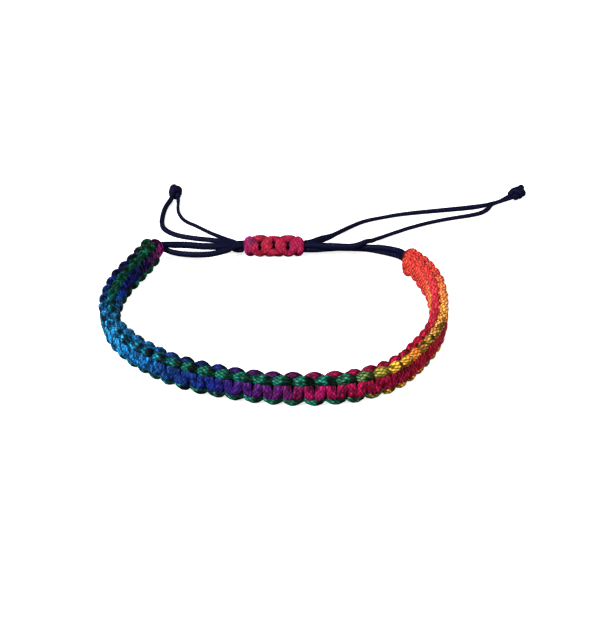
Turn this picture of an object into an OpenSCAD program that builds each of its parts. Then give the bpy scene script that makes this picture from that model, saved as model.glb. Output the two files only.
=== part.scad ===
// Friendship bracelet: a band of square knots round two core cords, closed by a sliding knot.
// Millimetres, +Z up. The band stands on its lower edge, and the loose tails lie on the surface.

/* [Ring] */
// Width of the ring, between the middles of the band's two sides
ring_w = 66; // [60:1:80]
// Depth of the ring, from the middle of the band's front to the middle of the closure
ring_d = 62.6; // [56:0.2:76]

/* [Band] */
// Height of the band, over the loops at its two edges
band_h = 6.2; // [5.8:0.1:8]
// Thickness of the band, over the bars on its two faces
band_t = 3.6; // [3.4:0.1:4.6]
// Thickness of the coloured cord that the band is knotted from
knot_cord_d = 1.84; // [1.5:0.02:2.2]
// Number of square knots along the band
knot_count = 45; // [36:1:54]

/* [Dark cords] */
// Thickness of the two cords that run through the band and end in the tails
core_cord_d = 1.05; // [0.9:0.05:1.3]

/* [Closure] */
// Length of the sliding closure
closure_l = 13; // [10:0.5:16]
// Width of the closure, over the loops at its two edges
closure_w = 4.3; // [4.2:0.1:6]
// Thickness of the closure, over the bars on its two faces
closure_t = 4.2; // [4:0.1:5]
// Thickness of the cord that the closure is knotted from
closure_cord_d = 1.6; // [1.4:0.05:2]
// Number of square knots along the closure
closure_knots = 2; // [1:1:4]

/* [Stopper knots] */
// Length of the knot at the end of each pair of tails
stopper_l = 4.2; // [3.6:0.1:5.5]
// Width of that knot
stopper_w = 3.1; // [2.9:0.1:4]
// Height of that knot
stopper_h = 3; // [2.6:0.1:4]

/* [Hidden] */

// Room between a dark cord and its neighbours
gap = 0.06;
// Sides of every dark cord
cord_sides = 8;
// Share by which the bars lie lower between two bars' middles
bar_dip = 0.14;
// Rings of a knotted solid for each knot, which is longer in the closure
rings_per_knot = 4;
closure_rings_per_knot = 8;

// The band's middle line from its left end, round the front, to its right end:
// shares of half the ring's width and depth, the lean of the band's top outwards in degrees,
// and the share of the knots tied so far.
X = 0;
Y = 1;
LEAN = 2;
KNOTS = 3;
BAND = [
    [-0.815,  0.855,  0, 0.000],
    [-0.880,  0.620,  2, 0.044],
    [-0.955,  0.380,  4, 0.090],
    [-0.995,  0.130,  5, 0.139],
    [-0.985, -0.130,  5, 0.188],
    [-0.900, -0.385,  3, 0.240],
    [-0.740, -0.610,  2, 0.298],
    [-0.525, -0.800,  0, 0.362],
    [-0.210, -0.945, -1, 0.437],
    [ 0.120, -1.005, -1, 0.506],
    [ 0.440, -0.975, -1, 0.568],
    [ 0.675, -0.840,  0, 0.628],
    [ 0.835, -0.605,  1, 0.694],
    [ 0.955, -0.320,  1, 0.766],
    [ 1.000,  0.000,  0, 0.836],
    [ 0.995,  0.290,  0, 0.898],
    [ 0.935,  0.540,  0, 0.954],
    [ 0.870,  0.663,  0, 1.000]
];
// Knots by which the band runs on past the first and the last row, in its rounded ends,
// and its girth there
band_end_left = 0.25;
band_end_right = 0.5;
band_end_girth = 0.78;

// Middle of the closure, as shares of half the ring's width and depth
closure_x = -0.015;
closure_y = 0.99;
// How far the closure is rolled back from standing on its edge, in degrees
closure_roll = 35;
// Where in a knot the closure begins at its left end
closure_start = -0.25;
// Length over which the closure rounds off at each end, and its least girth there
closure_tip = 0.35;
closure_tip_girth = 0.86;

// Dark cords between the band's end and the closure: share of the way from the band,
// distance behind the straight line, and sag below it.
ALONG = 0;
BEHIND = 1;
SAG = 2;
BRIDGE_LEFT_UPPER = [
    [0.035, 1.00, 0.06], [0.110, 1.40, 0.20], [0.225, 1.60, 0.50], [0.360, 1.50, 0.62],
    [0.565, 0.60, 0.70], [0.800, -0.20, 0.50]
];
BRIDGE_LEFT_LOWER = [
    [0.020, 0.95, 0.05], [0.065, 1.40, 0.15], [0.135, 1.00, 0.35], [0.215, 0.10, 0.60],
    [0.335, -0.75, 0.80], [0.490, -1.50, 0.85], [0.645, -1.75, 0.75], [0.800, -1.20, 0.45]
];
BRIDGE_RIGHT_UPPER = [
    [0.033, 2.50, 0.04], [0.063, 3.70, 0.13], [0.118, 4.45, 0.22], [0.222, 5.20, 0.36],
    [0.371, 5.30, 0.56], [0.547, 4.55, 0.60], [0.774, 2.40, 0.39]
];
BRIDGE_RIGHT_LOWER = [
    [0.033, 2.05, 0.12], [0.063, 3.15, 0.24], [0.118, 4.05, 0.39], [0.220, 5.10, 0.65],
    [0.368, 5.80, 0.86], [0.545, 5.05, 0.85], [0.773, 2.75, 0.53]
];

// Loose tails from the closure to the stopper knots: X and Y from the middle of the closure's
// end, and height of the cord's underside above the surface that it lies on.
UNDER = 2;
TAIL_LEFT_OUTER = [
    [-1.8, -0.1, 0.95], [-3.3, 2.6, 0.6], [-5.2, 5.4, 0.25], [-8, 6.9, 0], [-11, 7.6, 0],
    [-14.8, 9, 0], [-17.2, 10.8, 0], [-18.7, 12.9, 0], [-19.4, 15.6, 0], [-19.6, 19, 0],
    [-19.5, 23, 0], [-19.1, 26, 0.1], [-18.5, 28, 0.35]
];
TAIL_LEFT_INNER = [
    [-1.2, 1.6, 0.95], [-2.4, 3.9, 0.75], [-4.6, 6.6, 0.45], [-7, 9.3, 0.15], [-8.8, 11.4, 0],
    [-11.5, 14.4, 0], [-13.6, 16.4, 0], [-15, 18.6, 0], [-16, 21.6, 0], [-16.4, 24.2, 0.1],
    [-16.5, 26.4, 0.3], [-16.6, 28.2, 0.5]
];
TAIL_RIGHT_OUTER = [
    [1.8, 1.7, 1.9], [3.6, 3.8, 1.5], [5.9, 6.5, 1], [8.2, 10.1, 0.5], [10.4, 13.5, 0.05],
    [13, 16.2, 0], [15.4, 17.8, 0], [18.9, 19.4, 0], [22.4, 20.8, 0], [27.2, 22.1, 0],
    [33.1, 23.4, 0], [39.1, 24.8, 0], [42.6, 26.1, 0], [44.4, 27.2, 0], [46.2, 28.3, 0],
    [47.8, 29.5, 0.3]
];
TAIL_RIGHT_INNER = [
    [3, -0.7, 2.22], [7, -1, 2.18], [10, -1.2, 2.2], [12, -1.1, 2.6], [13.5, -0.6, 3.05],
    [14.4, 1.4, 2.3], [15.2, 3.7, 1.33], [16.3, 6.2, 0.58], [17.5, 7.9, 0.18], [19.5, 9.9, 0],
    [21.9, 11.7, 0], [24.2, 13.4, 0], [29, 16.3, 0], [33.8, 18.5, 0], [38.6, 20.3, 0],
    [41.2, 21.7, 0], [43, 23.6, 0.1], [44.1, 25.3, 0.45], [45.4, 26.4, 0.55],
    [47.1, 27.5, 0.6], [48.5, 28.5, 0.6]
];

// Stopper knots: place of the face that the tails go into, beside the middle of the closure's
// end, and the way that the knot points, in degrees.
STOPPER_LEFT_AT = [-17.5, 29.7];
STOPPER_LEFT_TURN = 90;
STOPPER_RIGHT_AT = [49.4, 29.9];
STOPPER_RIGHT_TURN = 40;
// Distance of each tail from the middle of that face, and the height of its underside
stopper_tail_side = 0.62;
stopper_tail_under = 0.6;
// Shape of a stopper knot: share of its length, and its girth as a share of its width and height
GIRTH = 1;
STOPPER = [[0, 0.78], [0.12, 0.94], [0.3, 1], [0.48, 0.92], [0.66, 1], [0.86, 0.86], [1, 0.45]];
stopper_sides = 12;

half_ring = [ring_w / 2, ring_d / 2];
closure_middle = [closure_x * half_ring[X], closure_y * half_ring[Y]];
closure_left = closure_middle - [closure_l / 2, 0];
closure_right = closure_middle + [closure_l / 2, 0];
// Half the distance between two dark cords that lie side by side
pair_step = (core_cord_d + gap) / 2;

// Catmull-Rom curve through a list of rows, at t counted in rows
function curve_at(rows, t) =
    let (last = len(rows) - 1,
         i = max(0, min(floor(t), last - 1)),
         s = t - i,
         p0 = i > 0 ? rows[i - 1] : 2 * rows[0] - rows[1],
         p1 = rows[i],
         p2 = rows[i + 1],
         p3 = i < last - 1 ? rows[i + 2] : 2 * rows[last] - rows[last - 1])
    0.5 * (2 * p1 + (p2 - p0) * s + (2 * p0 - 5 * p1 + 4 * p2 - p3) * s * s
           + (3 * p1 - p0 - 3 * p2 + p3) * s * s * s);

// Row of the band's table at which so many knots are tied
function band_row(knots) =
    let (last = len(BAND) - 1,
         tied = [for (i = [0 : last]) [BAND[i][KNOTS] * knot_count, i]],
         first_rate = 1 / tied[1][0],
         last_rate = 1 / (tied[last][0] - tied[last - 1][0]))
    knots < 0 ? knots * first_rate
    : knots > knot_count ? last + (knots - knot_count) * last_rate
    : lookup(knots, tied);

// Turns a point [out, up] of a cross-section by the lean of its top outwards
function leaned(point, lean) =
    [point[0] * cos(lean) + point[1] * sin(lean), point[1] * cos(lean) - point[0] * sin(lean)];

// Cross-section of a run of square knots as points [out, up]. The loops at opposite corners
// stand out in turn, and the bars on the two faces lie between them.
function knotted_outline(phase, thickness, height, cord_d) =
    let (r = cord_d / 2,
         near = 0.5 + 0.5 * sin(360 * phase),
         edge = height / 2 - r,
         crown_a = r * (0.74 + 0.26 * near),
         crown_b = r * (1 - 0.26 * near),
         bar = thickness / 2 * (1 - bar_dip * abs(sin(360 * phase))),
         side = 0.2 * thickness)
    [
        [bar, 0],
        [side + crown_a, edge],
        [0.9 * side, edge + crown_a],
        [0, edge + 0.6 * r],
        [-0.9 * side, edge + crown_b],
        [-side - crown_b, edge],
        [-bar, 0],
        [-side - crown_a, -edge],
        [-0.9 * side, -edge - crown_a],
        [0, -edge - 0.6 * r],
        [0.9 * side, -edge - crown_b],
        [side + crown_b, -edge]
    ];

// Height of the middle of a leaning run of knots whose lowest loops rest on the surface below
function resting_height(thickness, height, cord_d, lean) =
    max([for (phase = [0, 0.25, 0.75])
         for (point = knotted_outline(phase, thickness, height, cord_d))
         -leaned(point, lean)[1]]);

// Place in space of a point [out, up] of the band's cross-section, so many knots along
function band_point(knots, point) =
    let (row = band_row(knots),
         here = curve_at(BAND, row),
         ahead = curve_at(BAND, row + 0.01),
         way = [(ahead[X] - here[X]) * half_ring[X], (ahead[Y] - here[Y]) * half_ring[Y]],
         out = [way[Y], -way[X]] / norm(way),
         turned = leaned(point, here[LEAN]),
         lift = resting_height(band_t, band_h, knot_cord_d, here[LEAN]))
    [here[X] * half_ring[X] + out[X] * turned[0],
     here[Y] * half_ring[Y] + out[Y] * turned[0],
     lift + turned[1]];

closure_lift = resting_height(closure_t, closure_w, closure_cord_d, -closure_roll);

// Place in space of a point of the closure's cross-section, so far from its left end
function closure_point(along, point) =
    let (turned = leaned(point, -closure_roll))
    [closure_left[X] + along, closure_middle[Y] - turned[0], closure_lift + turned[1]];

// Passage for the two dark cords in the band, with as many points as the outline
function band_passage() =
    let (half_w = core_cord_d / 2 + gap,
         half_h = core_cord_d + 1.5 * gap,
         c = 0.28 * core_cord_d)
    [
        [half_w, 0], [half_w, half_h - c], [half_w - c, half_h], [0, half_h],
        [c - half_w, half_h], [-half_w, half_h - c], [-half_w, 0], [-half_w, c - half_h],
        [c - half_w, -half_h], [0, -half_h], [half_w - c, -half_h], [half_w, c - half_h]
    ];

// Passage for four dark cords in the closure, with as many points as the outline
closure_passage_r = (sqrt(2) * pair_step + core_cord_d / 2 + gap) / cos(15);
function closure_passage() =
    [for (i = [0 : 11]) closure_passage_r * [cos(30 * i), sin(30 * i)]];

// Side faces of a stack of rings with so many points each, from a first point's number
function wall_faces(rings, sides, first, inward) = [
    for (k = [0 : rings - 2])
    for (i = [0 : sides - 1])
    let (j = (i + 1) % sides,
         a = first + k * sides + i,
         b = first + k * sides + j,
         c = a + sides,
         d = b + sides)
    each inward ? [[a, d, b], [a, c, d]] : [[a, b, d], [a, d, c]]
];

// Ring-shaped end between an outer ring and an inner ring
function end_faces(outer, inner, sides, at_start) = [
    for (i = [0 : sides - 1])
    let (j = (i + 1) % sides)
    each at_start ? [[outer + i, inner + j, outer + j], [outer + i, inner + i, inner + j]]
                  : [[outer + i, outer + j, inner + j], [outer + i, inner + j, inner + i]]
];

// Solid between a stack of outer rings and a passage with rings of its own
module sleeve(outer, inner) {
    sides = len(outer[0]);
    first_inner = len(outer) * sides;
    polyhedron(
        points = [each [for (ring = outer) each ring], each [for (ring = inner) each ring]],
        faces = [
            each wall_faces(len(outer), sides, 0, false),
            each wall_faces(len(inner), sides, first_inner, true),
            each end_faces(0, first_inner, sides, true),
            each end_faces((len(outer) - 1) * sides, first_inner + (len(inner) - 1) * sides,
                           sides, false)
        ]
    );
}

// Closed solid through a stack of rings
module skin(rings) {
    sides = len(rings[0]);
    polyhedron(
        points = [for (ring = rings) each ring],
        faces = [
            each wall_faces(len(rings), sides, 0, false),
            [for (i = [sides - 1 : -1 : 0]) i],
            [for (i = [0 : sides - 1]) (len(rings) - 1) * sides + i]
        ]
    );
}

// Rings of a cord round each point of its route, the first and the last one square to a way
function cord_rings(route, first_way, last_way) = [
    for (k = [0 : len(route) - 1])
    let (step = k == 0 ? first_way : k == len(route) - 1 ? last_way : route[k + 1] - route[k - 1],
         way = step / norm(step),
         flat = [way[Y], -way[X], 0] / norm([way[X], way[Y]]),
         rise = cross(flat, way))
    [for (i = [0 : cord_sides - 1])
     let (a = 360 * i / cord_sides)
     route[k] + core_cord_d / 2 * (cos(a) * flat + sin(a) * rise)]
];

// The band of square knots, with its passage
module knotted_band() {
    last = knot_count + band_end_right;
    steps = round((knot_count + 0.25) * rings_per_knot);
    ring = function (knots, girth)
        [for (p = knotted_outline(knots, band_t, band_h, knot_cord_d))
         band_point(knots, girth * p)];
    outer = [
        ring(-band_end_left, band_end_girth),
        for (i = [0 : steps]) ring(i / rings_per_knot, 1),
        ring(last, band_end_girth)
    ];
    inner = [
        for (knots = [-band_end_left, each [0 : knot_count], last])
        [for (p = band_passage()) band_point(knots, p)]
    ];
    color("mediumvioletred") sleeve(outer, inner);
}

// The sliding closure, with its passage
module closure_knot() {
    steps = closure_knots * closure_rings_per_knot;
    full_l = closure_l - 2 * closure_tip;
    // The rounded ends still leave a wall round the passage
    passage_girth = (closure_passage_r + gap) / (closure_t / 2 * (1 - bar_dip));
    tip_girth = max(closure_tip_girth, passage_girth);
    ring = function (i, along, girth)
        let (knots = closure_start + i / closure_rings_per_knot)
        [for (p = knotted_outline(knots, closure_t, closure_w, closure_cord_d))
         closure_point(along, girth * p)];
    outer = [
        ring(0, 0, tip_girth),
        for (i = [0 : steps]) ring(i, closure_tip + full_l * i / steps, 1),
        ring(steps, closure_l, tip_girth)
    ];
    inner = [for (along = [0, closure_l]) [for (p = closure_passage()) closure_point(along, p)]];
    color("crimson") sleeve(outer, inner);
}

// Place of a dark cord at the closure's left or right end: back or front, upper or lower
function closure_port(end, back, upper) =
    [end[X], end[Y] + back * pair_step, closure_lift + upper * pair_step];

// Route between the band's end and the closure's end, without its two ends
function bridge(from, to, rows) = [
    for (row = rows) from + row[ALONG] * (to - from) + [0, row[BEHIND], -row[SAG]]
];

// Route of a dark cord through the closure, the left bridge, the band, the right bridge
// and the closure again. In the band it lies above or below the other one.
function core_route(up, left_port_back, right_port_back, left_rows, right_rows) =
    let (place = [0, up * pair_step],
         last = knot_count + band_end_right,
         band_left = band_point(-band_end_left, place),
         band_right = band_point(last, place),
         port_left = closure_port(closure_left, left_port_back, 1),
         port_right = closure_port(closure_right, right_port_back, -1))
    [
        closure_port(closure_right, left_port_back, 1),
        port_left,
        each [for (i = [len(left_rows) - 1 : -1 : 0])
              bridge(band_left, port_left, left_rows)[i]],
        band_left,
        for (knots = [0 : knot_count]) band_point(knots, place),
        band_right,
        each bridge(band_right, port_right, right_rows),
        port_right,
        closure_port(closure_left, right_port_back, -1)
    ];

// A core cord begins and ends in the closure, along it
module core_cord(route) {
    skin(cord_rings(route, [-1, 0, 0], [-1, 0, 0]));
}

module core_cord_upper() {
    color("midnightblue")
    core_cord(core_route(1, 1, -1, BRIDGE_LEFT_UPPER, BRIDGE_RIGHT_UPPER));
}

module core_cord_lower() {
    color("navy")
    core_cord(core_route(-1, -1, 1, BRIDGE_LEFT_LOWER, BRIDGE_RIGHT_LOWER));
}

// Place of a tail where it goes into a stopper knot, on its left or right side
function stopper_port(end, at, turn, side) =
    [end[X] + at[X] - side * stopper_tail_side * sin(turn),
     end[Y] + at[Y] + side * stopper_tail_side * cos(turn),
     stopper_tail_under + core_cord_d / 2];

// A tail leaves the closure along it, and goes into the stopper knot along that one's turn.
// It lies back or front and upper or lower in the closure, and to one side in the knot.
module tail(end, leaves, back, upper, rows, at, turn, side) {
    route = [
        closure_port(end, back, upper),
        for (row = rows) [end[X] + row[X], end[Y] + row[Y], row[UNDER] + core_cord_d / 2],
        stopper_port(end, at, turn, side)
    ];
    color("midnightblue") skin(cord_rings(route, [leaves, 0, 0], [cos(turn), sin(turn), 0]));
}

module tail_left_outer() {
    tail(closure_left, -1, -1, -1, TAIL_LEFT_OUTER, STOPPER_LEFT_AT, STOPPER_LEFT_TURN, 1);
}

module tail_left_inner() {
    tail(closure_left, -1, 1, -1, TAIL_LEFT_INNER, STOPPER_LEFT_AT, STOPPER_LEFT_TURN, -1);
}

module tail_right_outer() {
    tail(closure_right, 1, 1, 1, TAIL_RIGHT_OUTER, STOPPER_RIGHT_AT, STOPPER_RIGHT_TURN, 1);
}

module tail_right_inner() {
    tail(closure_right, 1, -1, 1, TAIL_RIGHT_INNER, STOPPER_RIGHT_AT, STOPPER_RIGHT_TURN, -1);
}

// A stopper knot that stands on the surface below, with its flat face to the tails
module stopper_knot(end, at, turn) {
    rings = [
        for (row = STOPPER)
        [for (i = [0 : stopper_sides - 1])
         let (a = -360 * i / stopper_sides)
         [row[ALONG] * stopper_l,
          row[GIRTH] * stopper_w / 2 * cos(a),
          stopper_h / 2 * (1 + row[GIRTH] * sin(a))]]
    ];
    color("midnightblue")
    translate([end[X] + at[X], end[Y] + at[Y], 0])
    rotate([0, 0, turn])
    skin(rings);
}

module stopper_knot_left() stopper_knot(closure_left, STOPPER_LEFT_AT, STOPPER_LEFT_TURN);

module stopper_knot_right() stopper_knot(closure_right, STOPPER_RIGHT_AT, STOPPER_RIGHT_TURN);

knotted_band();
core_cord_upper();
core_cord_lower();
closure_knot();
tail_left_outer();
tail_left_inner();
tail_right_outer();
tail_right_inner();
stopper_knot_left();
stopper_knot_right();
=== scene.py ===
import math
from collections import namedtuple

import bpy
import numpy as np
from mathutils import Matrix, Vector


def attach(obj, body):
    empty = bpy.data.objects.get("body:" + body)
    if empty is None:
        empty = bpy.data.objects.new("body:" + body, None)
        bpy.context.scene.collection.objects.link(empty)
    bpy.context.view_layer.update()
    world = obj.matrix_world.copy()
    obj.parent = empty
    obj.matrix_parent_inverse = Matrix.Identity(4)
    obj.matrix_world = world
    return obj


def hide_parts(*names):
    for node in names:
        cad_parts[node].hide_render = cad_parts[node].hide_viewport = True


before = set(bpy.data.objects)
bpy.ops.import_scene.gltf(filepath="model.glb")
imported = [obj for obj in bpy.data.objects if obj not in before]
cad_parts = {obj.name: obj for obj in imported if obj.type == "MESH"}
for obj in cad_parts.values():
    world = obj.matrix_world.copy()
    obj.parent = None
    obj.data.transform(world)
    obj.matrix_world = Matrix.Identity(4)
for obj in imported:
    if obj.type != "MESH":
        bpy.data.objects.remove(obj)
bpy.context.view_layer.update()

# Sizes and routes are in millimetres, as in the CAD source, and MM turns them into metres
MM = 0.001

# Ring and band
RING_W, RING_D = 66.0, 62.6
BAND_H = 6.2
KNOTS = 45
HALF_RING = np.array([RING_W / 2, RING_D / 2])
# How far a leaning band's lowest point lies beside its middle line
BAND_FOOT = 0.65
# Knots by which the band runs on past its first and its last row
BAND_END_LEFT, BAND_END_RIGHT = 0.25, 0.5
# Band's middle line: shares of half the ring's width and depth, lean in degrees, share of knots
BAND = np.array([
    [-0.815, 0.855, 0, 0.000], [-0.880, 0.620, 2, 0.044], [-0.955, 0.380, 4, 0.090],
    [-0.995, 0.130, 5, 0.139], [-0.985, -0.130, 5, 0.188], [-0.900, -0.385, 3, 0.240],
    [-0.740, -0.610, 2, 0.298], [-0.525, -0.800, 0, 0.362], [-0.210, -0.945, -1, 0.437],
    [0.120, -1.005, -1, 0.506], [0.440, -0.975, -1, 0.568], [0.675, -0.840, 0, 0.628],
    [0.835, -0.605, 1, 0.694], [0.955, -0.320, 1, 0.766], [1.000, 0.000, 0, 0.836],
    [0.995, 0.290, 0, 0.898], [0.935, 0.540, 0, 0.954], [0.870, 0.663, 0, 1.000],
])
# Rows further on to which the band's direction is measured
ROW_AHEAD = 0.01

# Dark cords, and the room beside each
CORE_D = 1.05
# Width over the crests of the braid, where CORE_D is a cord squeezed round and smooth
CORE_SHOWN = 1.15
GAP = 0.06
PAIR_STEP = (CORE_D + GAP) / 2

# Closure: its length and knots, where in a knot it begins, the bare length at each end, how
# far it is rolled back in degrees, and the height of its middle, which lets it rest on the floor
CLOSURE_L = 13.0
CLOSURE_KNOTS = 2
CLOSURE_START = -0.25
CLOSURE_TIP = 0.35
CLOSURE_ROLL = 35.0
CLOSURE_LIFT = 2.1948
CLOSURE_MIDDLE = np.array([-0.015, 0.99]) * HALF_RING
CLOSURE_LEFT = CLOSURE_MIDDLE - [CLOSURE_L / 2, 0]
CLOSURE_RIGHT = CLOSURE_MIDDLE + [CLOSURE_L / 2, 0]

# Dark cords between the band's end and the closure: share of the way from the band,
# distance behind the straight line, and sag below it
BRIDGE_LEFT_UPPER = [
    [0.035, 1.00, 0.06], [0.110, 1.40, 0.20], [0.225, 1.60, 0.50], [0.360, 1.50, 0.62],
    [0.565, 0.60, 0.70], [0.800, -0.20, 0.50],
]
BRIDGE_LEFT_LOWER = [
    [0.020, 0.95, 0.05], [0.065, 1.40, 0.15], [0.135, 1.00, 0.35], [0.215, 0.10, 0.60],
    [0.335, -0.75, 0.80], [0.490, -1.50, 0.85], [0.645, -1.75, 0.75], [0.800, -1.20, 0.45],
]
BRIDGE_RIGHT_UPPER = [
    [0.033, 2.50, 0.04], [0.063, 3.70, 0.13], [0.118, 4.45, 0.22], [0.222, 5.20, 0.36],
    [0.371, 5.30, 0.56], [0.547, 4.55, 0.60], [0.774, 2.40, 0.39],
]
BRIDGE_RIGHT_LOWER = [
    [0.033, 2.05, 0.12], [0.063, 3.15, 0.24], [0.118, 4.05, 0.39], [0.220, 5.10, 0.65],
    [0.368, 5.80, 0.86], [0.545, 5.05, 0.85], [0.773, 2.75, 0.53],
]
# How thick the core cords look: shares of the way, and thickness, broadest in the two bridges
CORE_SHARES = (0.06, 0.085, 0.125, 0.14, 0.88, 0.90, 0.93, 0.945)
CORE_UPPER_THICK = (
    CORE_SHARES, (CORE_SHOWN, 1.5, 1.5, CORE_SHOWN, CORE_SHOWN, 1.38, 1.38, CORE_SHOWN),
)
CORE_LOWER_THICK = (
    CORE_SHARES, (CORE_SHOWN, 1.28, 1.28, CORE_SHOWN, CORE_SHOWN, 1.38, 1.38, CORE_SHOWN),
)

# Loose tails: X and Y from the middle of the closure's end, and height of the underside
TAIL_LEFT_OUTER = [
    [-1.8, -0.1, 0.95], [-3.3, 2.6, 0.6], [-5.2, 5.4, 0.25], [-8, 6.9, 0], [-11, 7.6, 0],
    [-14.8, 9, 0], [-17.2, 10.8, 0], [-18.7, 12.9, 0], [-19.4, 15.6, 0], [-19.6, 19, 0],
    [-19.5, 23, 0], [-19.1, 26, 0.1], [-18.5, 28, 0.35],
]
TAIL_LEFT_INNER = [
    [-1.2, 1.6, 0.95], [-2.4, 3.9, 0.75], [-4.6, 6.6, 0.45], [-7, 9.3, 0.15], [-8.8, 11.4, 0],
    [-11.5, 14.4, 0], [-13.6, 16.4, 0], [-15, 18.6, 0], [-16, 21.6, 0], [-16.4, 24.2, 0.1],
    [-16.5, 26.4, 0.3], [-16.6, 28.2, 0.5],
]
TAIL_RIGHT_OUTER = [
    [1.8, 1.7, 1.9], [3.6, 3.8, 1.5], [5.9, 6.5, 1], [8.2, 10.1, 0.5], [10.4, 13.5, 0.05],
    [13, 16.2, 0], [15.4, 17.8, 0], [18.9, 19.4, 0], [22.4, 20.8, 0], [27.2, 22.1, 0],
    [33.1, 23.4, 0], [39.1, 24.8, 0], [42.6, 26.1, 0], [44.4, 27.2, 0], [46.2, 28.3, 0],
    [47.8, 29.5, 0.3],
]
TAIL_RIGHT_INNER = [
    [3, -0.7, 2.22], [7, -1, 2.18], [10, -1.2, 2.2], [12, -1.1, 2.6], [13.5, -0.6, 3.05],
    [14.4, 1.4, 2.3], [15.2, 3.7, 1.33], [16.3, 6.2, 0.58], [17.5, 7.9, 0.18], [19.5, 9.9, 0],
    [21.9, 11.7, 0], [24.2, 13.4, 0], [29, 16.3, 0], [33.8, 18.5, 0], [38.6, 20.3, 0],
    [41.2, 21.7, 0], [43, 23.6, 0.1], [44.1, 25.3, 0.45], [45.4, 26.4, 0.55],
    [47.1, 27.5, 0.6], [48.5, 28.5, 0.6],
]
# How thick the loose tails look: shares of the way from the closure, and thickness
TAIL_LEFT_OUTER_THICK = (
    (0, 0.05, 0.15, 0.25, 1),
    (CORE_SHOWN, 1.3, 1.3, CORE_SHOWN, CORE_SHOWN),
)
TAIL_LEFT_INNER_THICK = (
    (0, 0.05, 0.12, 0.2, 0.4, 0.9, 1),
    (CORE_SHOWN, 1.3, 1.25, 0.92, 0.85, 0.76, 1),
)
TAIL_RIGHT_OUTER_THICK = (
    (0, 0.06, 0.10, 0.17, 0.45, 0.6, 0.82, 0.9, 1),
    (CORE_SHOWN, 1.5, 1.6, 1.05, 0.85, 1.0, 1.2, 0.88, 0.88),
)
TAIL_RIGHT_INNER_THICK = (
    (0, 0.06, 0.12, 0.2, 0.4, 0.7, 0.85, 0.93, 1),
    (CORE_SHOWN, 1.3, 1.4, 1.15, 0.85, 0.9, 1.05, 0.85, 0.85),
)

# Stopper knots: X and Y from the middle of the closure's end, and turn in degrees
STOPPER_LEFT_AT, STOPPER_LEFT_TURN = [-17.5, 29.7], 90.0
STOPPER_RIGHT_AT, STOPPER_RIGHT_TURN = [49.4, 29.9], 40.0
# Where a tail enters: how far beside the knot's middle, and height of its underside
STOPPER_TAIL_SIDE, STOPPER_TAIL_UNDER = 0.62, 0.6
# Length, height of the middle, thickness of the cord, and share by which it is pulled in
STOPPER_L = 4.2
STOPPER_UP = 1.5
STOPPER_CORD = 1.45
STOPPER_PULLED_IN = 0.86
# Ways of the two cords through each stopper knot: along, across and up from its middle
LEFT_STOPPER_WAYS = [
    [
        [-2.30, 0.62, -0.37], [-1.40, 0.80, 0.20], [-0.90, 0.30, 0.95], [-0.50, -0.70, 0.80],
        [-0.20, -0.98, -0.20], [0.10, -0.30, -0.90], [0.50, 0.60, -0.75], [0.90, 0.95, 0.10],
        [1.15, 0.80, 0.60], [1.60, 0.55, 0.70], [2.25, 0.45, 0.45],
    ],
    [
        [-2.30, -0.62, -0.37], [-1.40, -0.80, -0.30], [-0.90, -0.30, -0.92], [-0.50, 0.70, -0.80],
        [-0.20, 0.98, 0.20], [0.10, 0.30, 0.92], [0.50, -0.60, 0.80], [0.85, -0.98, 0.20],
        [1.20, -0.90, -0.30], [1.70, -0.80, -0.10],
    ],
]
RIGHT_STOPPER_WAYS = [
    [
        [-2.30, 0.62, -0.37], [-1.40, 0.80, 0.20], [-0.90, 0.30, 0.95], [-0.50, -0.80, 0.70],
        [-0.10, -1.05, -0.20], [0.20, -0.30, -0.92], [0.55, 0.60, -0.70], [0.90, 0.85, 0.10],
        [1.20, 0.60, 0.70], [1.80, 0.60, 0.85], [2.40, 0.75, 0.95],
    ],
    [
        [-2.30, -0.62, -0.37], [-1.40, -0.80, -0.30], [-0.90, -0.30, -0.92], [-0.50, 0.60, -0.80],
        [-0.20, 0.90, 0.20], [0.10, 0.30, 0.92], [0.50, -0.65, 0.80], [0.90, -0.95, 0.00],
        [1.20, -0.40, -0.50], [1.60, 0.20, 0.00], [2.10, 0.30, 0.50],
    ],
]

# Camera: where it looks, how far it stands off, its height angle, and its focal length in
# pixels of the 600 x 633 frame
LOOK_AT = np.array([5.2, 2.35, 0.0])
CAMERA_AWAY = 300.0
CAMERA_ELEVATION = 28.0
FOCAL_PX = 1479.0
FRAME_H = 633
SENSOR_MM = 36.0
# Nearest and farthest that the camera sees, in metres
CAMERA_NEAR, CAMERA_FAR = 0.01, 10.0

# Lights, in metres and watts: name, azimuth, elevation, size and power
LIGHTS = [("key", 44, 42, 0.3, 20), ("fill", -65, 25, 0.6, 6), ("low", 60, 8, 0.5, 4)]
# How far off each light stands, strength of the light all round, and width of the floor
LIGHT_AWAY = 1.2
WORLD_STRENGTH = 0.17
FLOOR_SIZE = 4.0

SEED = 7


def lerp_rows(rows, t):
    """Catmull-Rom curve through rows, at an array of places t counted in rows."""
    rows = np.asarray(rows, float)
    last = len(rows) - 1
    i = np.clip(np.floor(t).astype(int), 0, last - 1)
    s = (t - i)[:, None]
    padded = np.vstack([2 * rows[0] - rows[1], rows, 2 * rows[last] - rows[last - 1]])
    p0, p1, p2, p3 = (padded[i + k] for k in range(4))
    bend = 2 * p0 - 5 * p1 + 4 * p2 - p3
    swing = 3 * p1 - p0 - 3 * p2 + p3
    return 0.5 * (2 * p1 + (p2 - p0) * s + bend * s * s + swing * s ** 3)


def places_in(rows, per_row):
    """Places from the first row to the last, counted in rows, so many to each row."""
    return np.linspace(0, len(rows) - 1, per_row * (len(rows) - 1) + 1)


def unit(v):
    """Vectors of the same directions, each one long."""
    return v / np.linalg.norm(v, axis=-1, keepdims=True)


def rising(value, start, width):
    """Share from 0 to 1 of a width, counted from its start, that a value has passed."""
    return np.clip((value - start) / width, 0, 1)


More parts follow.
